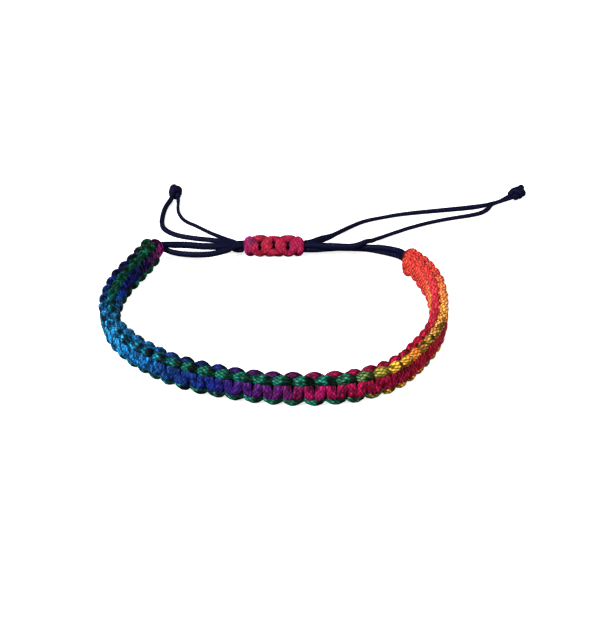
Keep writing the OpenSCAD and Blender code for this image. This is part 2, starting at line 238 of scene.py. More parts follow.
def even(value):
    """Profile for np.interp that has the same value all along."""
    return (0, 1), (value, value)


def leaned(out, up, lean):
    """Turns out and up by the lean of the top outwards, in degrees."""
    a = np.radians(lean)
    return out * np.cos(a) + up * np.sin(a), up * np.cos(a) - out * np.sin(a)


def band_place(knots, out, up):
    """Places in space for points beside the band's middle line, so many knots along."""
    knots, out, up = (np.asarray(v, float) for v in (knots, out, up))
    tied = BAND[:, 3] * KNOTS
    last = len(BAND) - 1
    row = np.interp(knots, tied, np.arange(last + 1))
    row = np.where(knots < 0, knots / tied[1], row)
    row = np.where(knots > KNOTS, last + (knots - KNOTS) / (tied[last] - tied[last - 1]), row)
    here, ahead = lerp_rows(BAND, row), lerp_rows(BAND, row + ROW_AHEAD)
    way = unit((ahead[:, :2] - here[:, :2]) * HALF_RING)
    lean = here[:, 2]
    turned_out, turned_up = leaned(out, up, lean)
    tilt = np.abs(np.radians(lean))
    lift = BAND_H / 2 * np.cos(tilt) + BAND_FOOT * np.sin(tilt)
    x = here[:, 0] * HALF_RING[0] + way[:, 1] * turned_out
    y = here[:, 1] * HALF_RING[1] - way[:, 0] * turned_out
    return np.stack([x, y, lift + turned_up], 1)


def closure_place(knots, out, up):
    """Places in space for points beside the closure's middle line, so many knots along."""
    knots, out, up = (np.asarray(v, float) for v in (knots, out, up))
    turned_out, turned_up = leaned(out, up, -CLOSURE_ROLL)
    pitch = (CLOSURE_L - 2 * CLOSURE_TIP) / CLOSURE_KNOTS
    x = CLOSURE_LEFT[0] + CLOSURE_TIP + (knots - CLOSURE_START) * pitch
    y = CLOSURE_MIDDLE[1] - turned_out
    return np.stack([x, y, CLOSURE_LIFT + turned_up], 1)


def closure_port(end, back, upper):
    """Where a dark cord enters the closure: back and upper are 1 or -1."""
    return np.array([end[0], end[1] + back * PAIR_STEP, CLOSURE_LIFT + upper * PAIR_STEP])


def bridge(start, end, rows):
    """Points of a dark cord between the band's end and the closure."""
    return [start + share * (end - start) + [0, behind, -sag] for share, behind, sag in rows]


def core_route(up, left_port_back, right_port_back, left_rows, right_rows):
    """Route of a dark cord: closure, left bridge, band, right bridge and closure again. up is
    1 or -1 for the cord's side of the band, as the backs are for its places in the closure."""
    knots = np.array([-BAND_END_LEFT, *range(KNOTS + 1), KNOTS + BAND_END_RIGHT])
    middle = np.zeros(len(knots))
    inside = band_place(knots, middle, middle + up * PAIR_STEP)
    port_left = closure_port(CLOSURE_LEFT, left_port_back, 1)
    port_right = closure_port(CLOSURE_RIGHT, right_port_back, -1)
    return np.array([
        closure_port(CLOSURE_RIGHT, left_port_back, 1),
        port_left,
        *bridge(inside[0], port_left, left_rows)[::-1],
        *inside,
        *bridge(inside[-1], port_right, right_rows),
        port_right,
        closure_port(CLOSURE_LEFT, right_port_back, -1),
    ])


def stopper_port(end, at, turn, side):
    """Where a tail enters its stopper knot: side is 1 or -1."""
    a = math.radians(turn)
    return np.array([
        end[0] + at[0] - side * STOPPER_TAIL_SIDE * math.sin(a),
        end[1] + at[1] + side * STOPPER_TAIL_SIDE * math.cos(a),
        STOPPER_TAIL_UNDER + CORE_D / 2,
    ])


def tail_route(end, back, upper, rows, at, turn, side):
    """Route of a tail from the closure's end to its stopper knot."""
    return np.array([
        closure_port(end, back, upper),
        *[[end[0] + x, end[1] + y, under + CORE_D / 2] for x, y, under in rows],
        stopper_port(end, at, turn, side),
    ])


# Sweeping cords

# Points to each row of a route, before a cord is cut into even steps
PLAIN_POINTS, KNOTTED_POINTS = 24, 16
# Powers that shape a lozenge of the braid across it and along it: less is flatter
LOZENGE_ACROSS, LOZENGE_ALONG = 0.7, 0.3
# Lozenges along a cord after which their tones repeat
TONES_ALONG = 8192
# Height of the relief that leaves a cord at its stated thickness
RELIEF_MIDDLE = 0.6
# Radius of a cord's rounded tip as a share of its thickness, and girth at its very end
TIP_RADIUS, TIP_GIRTH = 0.45, 0.2
# Power of sine and cosine in a cord's section, which at 1 is an ellipse
SECTION_POWER = 0.9
# Bake map of a cord: strips, room at their ends, room at their sides as a share of a strip,
# and the short upright line on which the two caps lie, as U, lowest V and height
UV_STRIPS = 6
UV_END_ROOM, UV_SIDE_ROOM = 0.01, 0.04
UV_CAPS = (0.995, 0.001, 0.002)


def even_steps(points, step):
    """Places along a dense run of points that lie one step apart, as row numbers, and the
    distance along at each."""
    gone = np.concatenate([[0], np.cumsum(np.linalg.norm(np.diff(points, axis=0), axis=1))])
    count = max(2, int(round(gone[-1] / step)) + 1)
    along = np.linspace(0, gone[-1], count)
    return np.interp(along, gone, np.arange(len(points))), along


def braid(along, around, carriers, cell):
    """Height from 0 to 1 of a braided sheath, whose strands show as rounded lozenges, and a
    tone from 0 to 1 that is the same over each lozenge."""
    turn = carriers * around / (2 * math.pi)
    u, v = turn + along / cell, turn - along / cell
    row, column = np.floor(u).astype(int), np.floor(v).astype(int)
    odd = (row + column) % 2 == 1
    across = np.sin(math.pi * (np.where(odd, u, v) % 1))
    lengthwise = np.sin(math.pi * (np.where(odd, v, u) % 1))
    height = across ** LOZENGE_ACROSS * lengthwise ** LOZENGE_ALONG
    tones = np.random.default_rng(SEED).random((2 * carriers, TONES_ALONG))
    tone = tones[(row + column) % (2 * carriers), (row - column) % TONES_ALONG]
    return height, tone


def rounded_ends(along, total, radius):
    """Girth from 0 to 1 that closes a cord's two ends with a round tip."""
    near = np.clip(np.minimum(along, total - along) / radius, 0, 1)
    return np.clip(np.sqrt(1 - (1 - near) ** 2), TIP_GIRTH, 1)


# How a cord's braid is cut: points round the cord, step along it, carriers in the braid,
# length of a lozenge and height of the relief
Sheath = namedtuple("Sheath", "sides step carriers cell relief")


def tube_faces(rings, sides):
    """Quads between neighbouring rings and a cap at each end, as numbers of points."""
    ring = np.arange(rings - 1)[:, None] * sides
    side = np.arange(sides)[None, :]
    first, after = ring + side, ring + (side + 1) % sides
    quads = np.stack([first, after, after + sides, first + sides], -1).reshape(-1, 4)
    near_cap = list(range(sides - 1, -1, -1))
    far_cap = list(range((rings - 1) * sides, rings * sides))
    return [*quads.tolist(), near_cap, far_cap]


def bake_map(corners, rings, sides):
    """U and V of each corner, given its point: the tube lies flat in strips, one above the
    other, and the caps lie on a short line beside them."""
    ring_of, side_of = corners // sides, corners % sides
    u = np.full(len(corners), UV_CAPS[0])
    v = UV_CAPS[1] + UV_CAPS[2] * side_of / sides
    body = (rings - 1) * sides * 4
    ring_of, side_of = ring_of[:body], side_of[:body]
    first_ring = np.repeat(np.arange(rings - 1), sides * 4)
    first_side = np.tile(np.repeat(np.arange(sides), 4), rings - 1)
    per = (rings - 1) / UV_STRIPS
    strip = np.floor(first_ring / per).astype(int).clip(0, UV_STRIPS - 1)
    seam = (first_side == sides - 1) & (side_of == 0)
    along = (ring_of - strip * per) / (per + 1)
    around = np.where(seam, sides, side_of) / sides
    u[:body] = UV_END_ROOM + (1 - 2 * UV_END_ROOM) * along
    v[:body] = (strip + UV_SIDE_ROOM + (1 - 2 * UV_SIDE_ROOM) * around) / UV_STRIPS
    return np.stack([u, v], 1)


def tube(name, places, values):
    """Smooth tube through a grid of places, a row for each ring, with a bake map, and with
    values as point attributes: name, kind and numbers."""
    rings, sides = places.shape[:2]
    mesh = bpy.data.meshes.new(name)
    mesh.from_pydata((places.reshape(-1, 3) * MM).tolist(), [], tube_faces(rings, sides))
    for label, (kind, numbers) in values.items():
        layer = mesh.attributes.new(label, kind, "POINT")
        key = "vector" if kind == "FLOAT_VECTOR" else "value"
        layer.data.foreach_set(key, np.asarray(numbers, np.float32).ravel())
    uv = mesh.uv_layers.new(name="OFBake")
    corners = np.zeros(len(mesh.loops), np.int32)
    mesh.loops.foreach_get("vertex_index", corners)
    uv.uv.foreach_set("vector", bake_map(corners, rings, sides).astype(np.float32).ravel())
    mesh.polygons.foreach_set("use_smooth", [True] * len(mesh.polygons))
    mesh.update()
    piece = bpy.data.objects.new(name, mesh)
    bpy.context.scene.collection.objects.link(piece)
    return piece


def sweep(name, centres, normals, wide, thick, where, painted_light, flecked, sheath, along):
    """A braided cord: rings round the centres, flattened along the normals, closed by caps.
    where is each ring's place in the dye, the next argument how much of its brightness painted
    shade leaves, and flecked how strongly its dark flecks show."""
    rings, sides = len(centres), sheath.sides
    ways = unit(np.gradient(centres, axis=0))
    normals = unit(normals - (normals * ways).sum(1, keepdims=True) * ways)
    across = np.cross(ways, normals)
    around = np.linspace(0, 2 * math.pi, sides, endpoint=False)
    height, tone = braid(along[:, None], around[None, :], sheath.carriers, sheath.cell)
    tone = 1 - (1 - tone) * flecked[:, None]
    tip = TIP_RADIUS * float(np.mean(thick))
    girth = rounded_ends(along - along[0], along[-1] - along[0], tip)
    up = np.sign(np.cos(around)) * np.abs(np.cos(around)) ** SECTION_POWER
    side = np.sign(np.sin(around)) * np.abs(np.sin(around)) ** SECTION_POWER
    swell = 1 + sheath.relief * (height - RELIEF_MIDDLE) / (0.5 * thick[:, None])
    a = 0.5 * (thick * girth)[:, None] * up[None, :] * swell
    b = 0.5 * (wide * girth)[:, None] * side[None, :] * swell
    places = centres[:, None, :] + a[..., None] * normals[:, None, :]
    places = places + b[..., None] * across[:, None, :]
    # No part of a cord goes below the floor
    places[..., 2] = np.maximum(places[..., 2], 0)
    # The fibres and the bleeding of the dye are laid out on a straight round cord
    lay = np.stack([
        np.repeat(along[:, None], sides, 1),
        np.broadcast_to(0.5 * CORE_D * np.cos(around), (rings, sides)),
        np.broadcast_to(0.5 * CORE_D * np.sin(around), (rings, sides)),
    ], -1)
    values = {
        "lay": ("FLOAT_VECTOR", lay),
        "relief": ("FLOAT", height),
        "tone": ("FLOAT", tone),
        # painted light: 1 where the cord is fully lit, less where painted shade darkens it
        "painted_light": ("FLOAT", np.repeat(painted_light, sides)),
        "dye": ("FLOAT", np.repeat(where, sides)),
    }
    return tube(name, places, values)


def plain_cord(name, route, sheath, thickness):
    """A dark cord along a route, as its piece, the centres of its rings and its length.
    thickness lists shares of the way along, and how thick the cord looks there."""
    points = lerp_rows(route, places_in(route, PLAIN_POINTS))
    rows, along = even_steps(points, sheath.step)
    centres = lerp_rows(points, rows)
    ways = unit(np.gradient(centres, axis=0))
    normal = np.cross(ways, np.cross([0, 0, 1.0], ways))
    size = np.interp(along / along[-1], *thickness)
    plain = np.ones(len(centres))
    piece = sweep(name, centres, normal, size, size, along, plain, plain, sheath, along)
    return piece, centres, along[-1]


def moved_on(rows, knots):
    """Rows of a knot, so many knots further along."""
    return [[row[0] + knots, *row[1:]] for row in rows]


# Square knots: a cord's way through one knot, as knots along, out from the core, up, and the
# cord's width and thickness there. The second cord mirrors the first through the core.
BAND_KNOT = [
    [0.00, 1.15, 0.00, 1.84, 1.30], [-0.07, 1.14, -1.10, 1.80, 1.30],
    [-0.20, 0.30, -1.35, 1.40, 1.30], [-0.14, -0.45, -1.60, 1.55, 1.50],
    [0.04, -0.84, -1.97, 1.80, 1.64], [0.25, -0.88, -2.13, 1.90, 1.76],
    [0.46, -0.84, -1.97, 1.80, 1.64], [0.64, -0.45, -1.60, 1.55, 1.50],
    [0.70, 0.30, -1.35, 1.40, 1.30], [0.57, 1.14, -1.10, 1.80, 1.30],
    [0.50, 1.15, 0.00, 1.84, 1.30], [0.44, 1.12, 0.90, 1.78, 1.30],
    [0.30, 0.30, 1.20, 1.40, 1.30], [0.36, -0.40, 1.60, 1.55, 1.50],
    [0.54, -0.70, 1.97, 1.80, 1.64], [0.75, -0.72, 2.13, 1.90, 1.76],
    [0.96, -0.70, 1.97, 1.80, 1.64], [1.14, -0.40, 1.60, 1.55, 1.50],
    [1.20, 0.30, 1.20, 1.40, 1.30], [1.06, 1.12, 0.90, 1.78, 1.30],
]
# The closure's front cord winds over and under between its bars, and its back cord's loops
# come over them, so each has its own way
CLOSURE_FRONT_KNOT = [
    [0.00, 1.50, 0.00, 2.50, 1.15], [0.03, 1.38, -0.80, 2.10, 1.20],
    [0.10, 0.85, -1.35, 1.70, 1.35], [0.18, 0.40, -1.55, 1.60, 1.40],
    [0.25, 0.25, -1.60, 1.60, 1.45], [0.32, 0.40, -1.55, 1.60, 1.40],
    [0.40, 0.85, -1.35, 1.70, 1.35], [0.47, 1.38, -0.80, 2.10, 1.20],
    [0.50, 1.50, 0.00, 2.50, 1.15], [0.53, 1.38, 0.80, 2.10, 1.20],
    [0.60, 0.85, 1.35, 1.70, 1.35], [0.68, 0.40, 1.55, 1.60, 1.40],
    [0.75, 0.25, 1.60, 1.60, 1.45], [0.82, 0.40, 1.55, 1.60, 1.40],
    [0.90, 0.85, 1.35, 1.70, 1.35], [0.97, 1.38, 0.80, 2.10, 1.20],
]
CLOSURE_BACK_KNOT = [
    [0.00, 1.50, 0.00, 2.40, 1.15], [0.02, 1.30, -0.90, 2.00, 1.20],
    [0.05, 0.40, -1.50, 1.70, 1.35], [0.13, -0.75, -1.62, 1.60, 1.45],
    [0.25, -1.15, -1.52, 1.70, 1.50], [0.37, -0.75, -1.62, 1.60, 1.45],
    [0.45, 0.40, -1.50, 1.70, 1.35], [0.48, 1.30, -0.90, 2.00, 1.20],
    [0.50, 1.50, 0.00, 2.40, 1.15], [0.52, 1.30, 0.90, 2.00, 1.20],
    [0.55, 0.40, 1.50, 1.70, 1.35], [0.63, -0.75, 1.62, 1.60, 1.45],
    [0.75, -1.15, 1.52, 1.70, 1.50], [0.87, -0.75, 1.62, 1.60, 1.45],
    [0.95, 0.40, 1.50, 1.70, 1.35], [0.98, 1.30, 0.90, 2.00, 1.20],
]
# First and last turns of the closure's two cords, and the rows of the half knot before the last
CLOSURE_FIRST = [
    [-0.12, 0.10, -1.40, 1.40, 1.30], [-0.18, 1.00, -1.00, 1.50, 1.35],
    [-0.20, 1.20, 0.00, 1.50, 1.25], [-0.18, 1.05, 0.95, 1.60, 1.35],
    [-0.11, 0.95, 1.40, 1.70, 1.35], [-0.04, 1.38, 0.85, 2.10, 1.20],
]
CLOSURE_LAST = [
    [1.60, 0.80, 1.40, 1.60, 1.35], [1.68, 1.10, 0.95, 1.50, 1.35],
    [1.70, 1.25, 0.00, 1.50, 1.25], [1.68, 1.10, -0.95, 1.50, 1.35],
    [1.62, 0.20, -1.40, 1.40, 1.30],
]
HALF_KNOT_ROWS = 10
# First and last turns of the band's two cords, which are one cord folded at the right end
FACE_FIRST = [
    [-0.24, -0.10, 1.10, 1.40, 1.30], [-0.18, -0.50, 1.70, 1.60, 1.50],
    [0.00, -0.62, 1.92, 1.80, 1.66], [0.13, -0.20, 1.60, 1.55, 1.50],
    [0.20, 0.30, 1.20, 1.40, 1.30], [0.06, 1.12, 0.90, 1.78, 1.30],
]
EDGE_FIRST = [
    [-0.15, -0.20, -1.60, 1.60, 1.50], [-0.30, 0.50, -1.50, 1.70, 1.50],
    [-0.38, 1.20, -0.85, 1.80, 1.40], [-0.40, 1.35, 0.00, 1.84, 1.40],
    [-0.36, 1.20, 0.90, 1.80, 1.40], [-0.20, 0.80, 1.45, 1.60, 1.40],
    [0.02, 1.12, 1.00, 1.78, 1.30],
]
FACE_LAST = moved_on(BAND_KNOT[:3], KNOTS) + [
    [44.96, -0.05, -1.85, 1.50, 1.50], [45.06, -0.32, -2.30, 1.60, 1.60],
    [45.17, -0.62, -2.10, 1.70, 1.60], [45.24, -0.76, -1.30, 1.70, 1.60],
    [45.24, -0.72, -0.50, 1.70, 1.60], [45.18, -0.50, 0.00, 1.60, 1.50],
]
EDGE_LAST = moved_on(BAND_KNOT[:6], KNOTS) + [
    [45.36, -0.50, -1.95, 1.80, 1.70], [45.42, 0.15, -1.50, 1.90, 1.75],
    [45.40, 0.50, -0.80, 1.90, 1.70], [45.30, 0.50, 0.00, 1.80, 1.60],
]
# The band's lower edge is drawn in towards its right end: knots along, and share of its drop
DRAWN_IN = ((41.8, 43.4, 44.6), (1.0, 0.78, 0.52))
# How unevenly the knots are tied: spread of each column of the rows above
JITTER = np.array([0.012, 0.03, 0.04, 0.05, 0.03])
CLOSURE_JITTER = 0.5 * JITTER
# How far out and how far up the middles of bars and loops lie
BAND_HALF = (1.15, 2.12)
CLOSURE_HALF = (1.5, 1.45)
# Shares of the way at which a strand of the band is cut into pieces
BAND_CUTS = (0.33, 0.67)
# Middles of a knot's lower and upper loop, in knots along
LOWER_LOOP, UPPER_LOOP = 0.25, 0.75
# Where each of these sets in, and over what width: a loop, by height as a share of the half
# height, its painted shade on the far half, by knots past its middle, and full light after the
# painted shade near the core, by distance from the core as a share of the half sizes
LOOP_SETS_IN = (0.7, 0.2)
FAR_HALF_SETS_IN = (0.0, 0.16)
CORE_SHADE_SETS_IN = (0.6, 0.35)
# How many times farther from the core the place lies that shows which way is outwards
OUTER_SHARE = 1.02


def knot_rows(before, table, knots, after, side, rng, jitter):
    """Rows of one cord through the knots, uneven as hand-tied knots are, with the rows of its
    first and last turns before and after them."""
    tied = np.array([row for knot in range(knots) for row in moved_on(table, knot)])
    tied[:, 2] *= np.where(side * tied[:, 2] < 0, np.interp(tied[:, 0], *DRAWN_IN), 1)
    rows = np.array([*before, *tied, *after]) * [1, side, side, 1, 1]
    return rows + jitter * rng.standard_normal(rows.shape)


def stopper_knot(name, at, turn, end, ways):
    """Stopper knot of two cords wound round each other, from rows of along, across and up."""
    a = math.radians(turn)
    along = np.array([math.cos(a), math.sin(a), 0])
    across = np.array([-math.sin(a), math.cos(a), 0])
    middle = np.array([end[0] + at[0], end[1] + at[1], STOPPER_UP]) + STOPPER_L / 2 * along
    pieces = []
    for label, rows in zip(("_first", "_second"), ways):
        rows = np.array(rows)
        rows[:, 1:] *= STOPPER_PULLED_IN
        route = middle + rows[:, :1] * along + rows[:, 1:2] * across + rows[:, 2:] * [0, 0, 1]
        pieces.append(plain_cord(name + label, route, NAVY_SHEATH, even(STOPPER_CORD))[0])
    return pieces


def knotted_cord(names, rows, side, place, half, sheath, dyed, shading, loop_shade, flecks, cuts=()):
    """Braided cords through rows beside a middle line. half is how far out and how far up the
    knots' middles lie, and dyed each row's place in the dye. The three arguments after dyed
    list places in knots, and how dark painted shade makes a loop's far half and the whole loop
    there, and how dark the flecks are.
    cuts are shares of the way where one piece gives way to the next."""
    dense = lerp_rows(rows, places_in(rows, KNOTTED_POINTS))
    points = place(dense[:, 0], dense[:, 1], dense[:, 2])
    at, along = even_steps(points, sheath.step)
    centres = lerp_rows(points, at)
    here = lerp_rows(dense, at)
    where = np.interp(at / KNOTTED_POINTS, np.arange(len(rows)), dyed)
    outer = place(here[:, 0], here[:, 1] * OUTER_SHARE, here[:, 2] * OUTER_SHARE)
    outward = outer - place(here[:, 0], here[:, 1], here[:, 2])
    # Painted shade darkens the far half of each loop, whole loops, and the cords near the core
    loop = np.where(here[:, 2] * side > 0, UPPER_LOOP, LOWER_LOOP)
    past = (here[:, 0] - loop + 0.5) % 1 - 0.5
    in_loop = rising(np.abs(here[:, 2]) / half[1], *LOOP_SETS_IN)
    shade = 1 - np.interp(here[:, 0], *shading) * in_loop * rising(past, *FAR_HALF_SETS_IN)
    dim = 1 - np.interp(here[:, 0], *loop_shade) * in_loop
    from_core = np.hypot(here[:, 1] / half[0], here[:, 2] / half[1])
    painted_light = shade * dim * rising(from_core, *CORE_SHADE_SETS_IN)
    flecked = np.interp(here[:, 0], *flecks)
    edges = [0, *[int(share * (len(centres) - 1)) for share in cuts], len(centres) - 1]
    pieces = []
    for name, a, b in zip(names, edges[:-1], edges[1:]):
        part = slice(a, b + 1)
        pieces.append(sweep(name, centres[part], outward[part], here[part, 3], here[part, 4],
                            where[part], painted_light[part], flecked[part], sheath, along[part]))
    return pieces


# Materials

# Shine of a cord, and roughness on the crests of its braid and in the creases
CORD_SPECULAR = 0.07
CREST_ROUGH, CREASE_ROUGH = 0.5, 0.8
# Bleeding of the dye: scale and detail of its noise, and how far it moves the colour
BLEED_SCALE, BLEED_DETAIL, BLEED_SHIFT = 0.9, 2.0, 0.003
# Fibres: stretch along and across the cord, scale and detail of the noise, and their relief
FIBRE_STRETCH = (2.5, 9.0, 9.0)
FIBRE_SCALE, FIBRE_DETAIL = 2.0, 4.0
FIBRE_BUMP, FIBRE_HEIGHT = 0.6, 0.03 * MM
# Floor: roughness, shine, scale of the noise, its two greys and its own light
FLOOR_ROUGH, FLOOR_SPECULAR = 0.9, 0.1
FLOOR_SCALE = 30.0
FLOOR_GREYS = [(0.3, 0.90), (0.7, 0.93)]
FLOOR_GLOW = 0.80
WHITE = (1, 1, 1, 1)


def srgb(red, green, blue):
    """A colour given in 0 to 255 as it shows on a screen, as linear light."""
    c = np.array([red, green, blue]) / 255
    c = np.where(c <= 0.04045, c / 12.92, ((c + 0.055) / 1.055) ** 2.4)
    return (*c.tolist(), 1.0)


def node(tree, kind, at, **settings):
    made = tree.nodes.new(kind)
    made.location = at
    for key, value in settings.items():
        setattr(made, key, value)
    return made


def attribute(tree, name, at):
    return node(tree, "ShaderNodeAttribute", at, attribute_name=name)


def ramp(tree, stops, at):
    """A colour ramp through stops of place and colour."""
    made = node(tree, "ShaderNodeValToRGB", at)
    elements = made.color_ramp.elements
    while len(elements) > 1:
        elements.remove(elements[-1])
    elements[0].position, elements[0].color = stops[0]
    for place, colour in stops[1:]:
        elements.new(place).color = colour
    return made


def grey_ramp(tree, stops, at):
    """A colour ramp through stops of place and brightness."""
    return ramp(tree, [(place, (value, value, value, 1.0)) for place, value in stops], at)


def multiplied(tree, first, second, at):
    """Colour output of one colour multiplied by another."""
    mix = node(tree, "ShaderNodeMix", at, data_type="RGBA", blend_type="MULTIPLY")
    mix.inputs["Factor"].default_value = 1.0
    tree.links.new(first, mix.inputs["A"])
    tree.links.new(second, mix.inputs["B"])
    return mix.outputs["Result"]


def cord_material(name, stops, tones, relief_lighting):
    """A braided cord's finish: dye along the cord, painted shade in the creases of the braid
    and painted highlight on the crests of its strands, uneven tone, and fine fibres in the
    bump. The last argument pairs heights of the relief with how bright the cord is there."""
    material = bpy.data.materials.new(name)
    material.use_nodes = True
    tree = material.node_tree
    link = tree.links.new
    shader = tree.nodes["Principled BSDF"]
    shader.inputs["Specular IOR Level"].default_value = CORD_SPECULAR
    dye = attribute(tree, "dye", (-1500, 300))
    relief = attribute(tree, "relief", (-1500, 0))
    lay = attribute(tree, "lay", (-1500, -300))

    # The dye bleeds unevenly from one colour to the next
    bleed = node(tree, "ShaderNodeTexNoise", (-1300, 500))
    bleed.inputs["Scale"].default_value = BLEED_SCALE
    bleed.inputs["Detail"].default_value = BLEED_DETAIL
    link(lay.outputs["Vector"], bleed.inputs["Vector"])
    shift = node(tree, "ShaderNodeMapRange", (-1100, 500))
    shift.inputs["To Min"].default_value = -BLEED_SHIFT
    shift.inputs["To Max"].default_value = BLEED_SHIFT
    link(bleed.outputs["Fac"], shift.inputs["Value"])
    dye_place = node(tree, "ShaderNodeMath", (-900, 400), operation="ADD")
    link(dye.outputs["Fac"], dye_place.inputs[0])
    link(shift.outputs["Result"], dye_place.inputs[1])
    colours = ramp(tree, stops, (-700, 400))
    link(dye_place.outputs["Value"], colours.inputs["Fac"])

    # Tone of single strands of the braid
    strands = attribute(tree, "tone", (-1500, -150))
    tone = grey_ramp(tree, tones, (-1100, -150))
    link(strands.outputs["Fac"], tone.inputs["Fac"])
    toned = multiplied(tree, colours.outputs["Color"], tone.outputs["Color"], (-400, 300))

    # Painted shade darkens the creases between the strands, and painted highlight brightens their
    # crests
    painted_node = attribute(tree, "painted_light", (-1500, 150))
    lit = node(tree, "ShaderNodeMath", (-1300, 100), operation="MULTIPLY")
    link(relief.outputs["Fac"], lit.inputs[0])
    link(painted_node.outputs["Fac"], lit.inputs[1])
    shade = grey_ramp(tree, relief_lighting, (-1100, 100))
    link(lit.outputs["Value"], shade.inputs["Fac"])
    relief_lit_colour = multiplied(tree, toned, shade.outputs["Color"], (-200, 300))
    link(relief_lit_colour, shader.inputs["Base Color"])
    gloss = node(tree, "ShaderNodeMapRange", (-400, -50))
    gloss.inputs["To Min"].default_value = CREASE_ROUGH
    gloss.inputs["To Max"].default_value = CREST_ROUGH
    link(relief.outputs["Fac"], gloss.inputs["Value"])
    link(gloss.outputs["Result"], shader.inputs["Roughness"])

    # Fibres run along the cord
    stretched = node(tree, "ShaderNodeMapping", (-1300, -450))
    stretched.inputs["Scale"].default_value = FIBRE_STRETCH
    link(lay.outputs["Vector"], stretched.inputs["Vector"])
    fibres = node(tree, "ShaderNodeTexNoise", (-1100, -450))
    fibres.inputs["Scale"].default_value = FIBRE_SCALE
    fibres.inputs["Detail"].default_value = FIBRE_DETAIL
    link(stretched.outputs["Vector"], fibres.inputs["Vector"])
    bump = node(tree, "ShaderNodeBump", (-400, -350))
    bump.inputs["Strength"].default_value = FIBRE_BUMP
    bump.inputs["Distance"].default_value = FIBRE_HEIGHT
    link(fibres.outputs["Fac"], bump.inputs["Height"])
    link(bump.outputs["Normal"], shader.inputs["Normal"])
    return material


def floor_material():
    """A pale floor with a light of its own, which keeps it near white."""
    material = bpy.data.materials.new("pale_floor")
    material.use_nodes = True
    tree = material.node_tree
    shader = tree.nodes["Principled BSDF"]
    shader.inputs["Roughness"].default_value = FLOOR_ROUGH
    shader.inputs["Specular IOR Level"].default_value = FLOOR_SPECULAR
    noise = node(tree, "ShaderNodeTexNoise", (-700, 0))
    noise.inputs["Scale"].default_value = FLOOR_SCALE
    tint = grey_ramp(tree, FLOOR_GREYS, (-450, 0))
    tree.links.new(noise.outputs["Fac"], tint.inputs["Fac"])
    tree.links.new(tint.outputs["Color"], shader.inputs["Base Color"])
    shader.inputs["Emission Color"].default_value = WHITE
    shader.inputs["Emission Strength"].default_value = FLOOR_GLOW
    return material


def dye_stops(knots_and_colours, first=0.0, last=float(KNOTS)):
    """Stops of a colour ramp, whose two ends are the first and the last place given."""
    return [((k - first) / (last - first), srgb(*c)) for k, c in knots_and_colours]


# Dyes, from the left end: knots along, and the colour
FACE_DYE = [
    (0.02, (112, 30, 96)), (0.10, (16, 112, 78)), (7.0, (14, 118, 98)), (8.8, (24, 130, 160)),
    (10.5, (38, 150, 212)), (12.5, (34, 132, 204)), (14.0, (32, 132, 214)),
    (15.5, (24, 70, 144)), (17.0, (20, 52, 128)), (18.6, (28, 44, 138)), (19.6, (54, 28, 114)),
    (20.8, (74, 25, 100)), (22.0, (92, 26, 100)), (22.7, (104, 26, 88)), (23.2, (142, 20, 76)),
    (24.0, (162, 22, 92)), (24.8, (158, 20, 74)), (27.0, (168, 20, 66)), (28.5, (184, 24, 68)),
    (30.5, (194, 28, 58)), (32.0, (202, 32, 56)), (34.0, (198, 42, 62)), (38.0, (200, 50, 62)),
    (41.0, (206, 60, 56)), (45.0, (209, 62, 52)),
]
EDGE_DYE = [
    (0.11, (176, 36, 146)), (0.17, (26, 92, 64)), (0.36, (26, 92, 64)), (0.42, (158, 34, 134)),
    (1.08, (92, 28, 114)), (1.18, (28, 78, 64)), (1.36, (28, 78, 64)), (1.44, (74, 26, 110)),
    (2.10, (58, 26, 112)), (2.25, (30, 48, 88)), (3.20, (36, 30, 126)), (4.20, (26, 38, 138)),
    (6.0, (22, 66, 172)), (8.5, (36, 144, 220)), (11.0, (42, 158, 222)), (12.8, (38, 156, 206)),
    (14.2, (26, 122, 152)), (17.0, (22, 104, 84)), (24.5, (22, 102, 82)), (25.6, (46, 108, 76)),
    (26.4, (98, 122, 64)), (27.2, (166, 154, 58)), (28.2, (234, 180, 60)), (29.2, (250, 174, 56)),
    (30.4, (244, 138, 52)), (31.4, (140, 110, 44)), (32.6, (164, 124, 52)), (34.0, (255, 176, 82)),
    (36.5, (240, 156, 74)), (38.6, (230, 126, 72)), (41.0, (210, 68, 56)), (45.0, (211, 62, 51)),
]
CRIMSON_DYE = [
    (-0.25, (172, 34, 98)), (-0.15, (178, 40, 116)), (-0.06, (128, 36, 86)), (0.02, (170, 34, 74)),
    (0.2, (182, 38, 64)), (0.8, (176, 32, 64)), (1.75, (172, 30, 78)),
]
NAVY_DYE = [(0.0, (10, 14, 46)), (1.0, (10, 14, 46))]
# Tones of the lozenges: share of them, and how bright
EDGE_TONES = [(0.0, 0.10), (0.17, 0.16), (0.32, 0.70), (0.60, 1.05), (1.0, 1.50)]
FACE_TONES = [(0.0, 0.20), (0.15, 0.45), (0.45, 0.95), (1.0, 1.50)]
CRIMSON_TONES = [(0.0, 0.50), (0.5, 0.90), (1.0, 1.25)]
# The navy cord's brightest lozenges are painted glints; the others differ in tone at random
NAVY_TONES_AND_GLINTS = [(0.0, 0.8), (0.8, 1.0), (0.92, 1.5), (1.0, 2.5)]

# Painted shade in the creases of the braid and painted highlight on its crests: height of the
# relief, and how bright
EDGE_RELIEF_LIGHTING = [(0.18, 0.05), (0.58, 0.50), (0.90, 1.70)]
FACE_RELIEF_LIGHTING = [(0.15, 0.10), (0.58, 0.60), (0.90, 1.30)]
CRIMSON_RELIEF_LIGHTING = [(0.15, 0.30), (0.55, 0.80), (0.90, 1.15)]
NAVY_RELIEF_LIGHTING = [(0.15, 0.35), (0.55, 0.60), (0.90, 1.15)]
# Painted shade on the far half of each loop: knots along, and how dark
BAND_SHADING = ((25.5, 28.0), (0.68, 0.3))
CLOSURE_SHADING = even(0.3)
